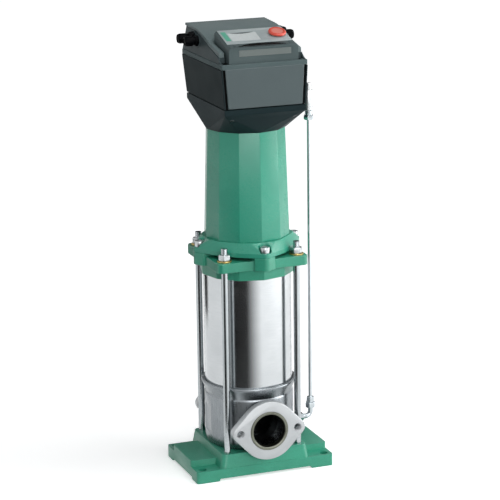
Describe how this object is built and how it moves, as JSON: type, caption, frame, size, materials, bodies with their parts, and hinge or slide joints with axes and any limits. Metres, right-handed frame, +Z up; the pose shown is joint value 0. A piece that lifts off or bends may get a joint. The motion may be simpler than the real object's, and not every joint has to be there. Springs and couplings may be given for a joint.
{
  "type": "vertical_multistage_pump",
  "caption": "Vertical multistage pump with in-line ports, oval flanges, tie rods, a twelve-sided motor and a frequency converter box with console and knob on top",
  "frame": {"origin": "centre of the base's underside, where the feet stand", "axes": "+Z up along the pump axis, -Y to the inlet and the console, +X to the sensing line"},
  "size_m": [0.241, 0.1925, 0.74],
  "materials": {
    "base_iron": "green painted casting, satin",
    "motor_paint": "green powder coat, satin",
    "casing_steel": "pressed stainless, pickled",
    "sleeve_steel": "stainless tube, polished",
    "flange_steel": "machined, satin",
    "rod_steel": "drawn bar, zinc plated",
    "yellow_zinc": "yellow passivated washer",
    "guard_black": "black sheet guard",
    "skirt_black": "fine grained moulding",
    "panel_grey": "fine grained moulding",
    "chassis_black": "plain moulding",
    "lid_grey": "fine grained moulding",
    "label_grey": "bare plate",
    "membrane": "bare film",
    "window": "bare display window",
    "knob_red": "moulded, satin",
    "gland_black": "moulded nylon",
    "line_steel": "bright stainless",
    "sensor_steel": "turned, satin",
    "inner_steel": "stainless sheet",
    "shaft_steel": "ground bar",
    "carbon": "carbon and rubber seal parts",
    "core_steel": "stacked electrical sheet",
    "copper": "varnished copper wire",
    "alloy": "cast or extruded aluminium",
    "fan_plastic": "moulded",
    "board": "bare circuit board",
    "capacitor": "sleeved can"
  },
  "bodies": {
    "pump": {"base_plate": "base_iron", "tie_rods": "rod_steel", "rod_washers": "yellow_zinc", "rod_nuts": "rod_steel", "pump_casing": "casing_steel", "outer_sleeve": "sleeve_steel", "front_flange": "flange_steel", "rear_flange": "flange_steel", "pump_head": "base_iron", "coupling_guard": "guard_black", "motor_flange": "motor_paint", "motor_screws": "rod_steel", "motor_housing": "motor_paint", "inlet_cup": "inner_steel", "bottom_bush": "carbon", "stage_chambers": "inner_steel", "guide_vanes": "inner_steel", "discharge_spacer": "inner_steel", "seal_seat": "carbon", "lower_shield": "alloy", "upper_shield": "alloy", "lower_bearing": "shaft_steel", "upper_bearing": "shaft_steel", "stator_core": "core_steel", "stator_windings": "copper", "converter_skirt": "skirt_black", "skirt_screws": "rod_steel", "converter_chassis": "chassis_black", "side_shroud": "panel_grey", "front_panel": "panel_grey", "rim_frame": "panel_grey", "heat_sink": "alloy", "power_board": "board", "capacitors": "capacitor", "cover_base": "panel_grey", "cover_lid": "lid_grey", "gland_bodies": "gland_black", "gland_caps": "gland_black", "blanking_plugs": "gland_black", "console_housing": "panel_grey", "label_plate": "label_grey", "display_panel": "membrane", "display_window": "window", "line_elbow": "line_steel", "line_nuts": "line_steel", "line_tube": "line_steel", "sensor_body": "sensor_steel"},
    "rotor": {"pump_shaft": "shaft_steel", "impellers": "inner_steel", "spacer_sleeves": "inner_steel", "seal_head": "carbon", "coupling_halves": "core_steel", "coupling_screws": "rod_steel", "motor_shaft": "shaft_steel", "rotor_core": "core_steel", "rotor_end_rings": "alloy", "cooling_fan": "fan_plastic"},
    "plunger": {"encoder_plunger": "shaft_steel"},
    "knob": {"control_knob": "knob_red"}
  },
  "joints": [
    {"name": "shaft_spin", "type": "hinge", "parent": "pump", "child": "rotor", "pos_m": [0, 0, 0.4], "axis": [0, 0, 1], "continuous": true},
    {"name": "knob_push", "type": "slide", "parent": "pump", "child": "plunger", "axis": [0, 0.2924, -0.9563], "range_m": [0, 0.0015], "stiffness_N_per_m": 600, "springref_m": -0.001},
    {"name": "knob_turn", "type": "hinge", "parent": "plunger", "child": "knob", "pos_m": [0.0388, -0.04683, 0.73307], "axis": [0, -0.2924, 0.9563], "continuous": true}
  ]
}
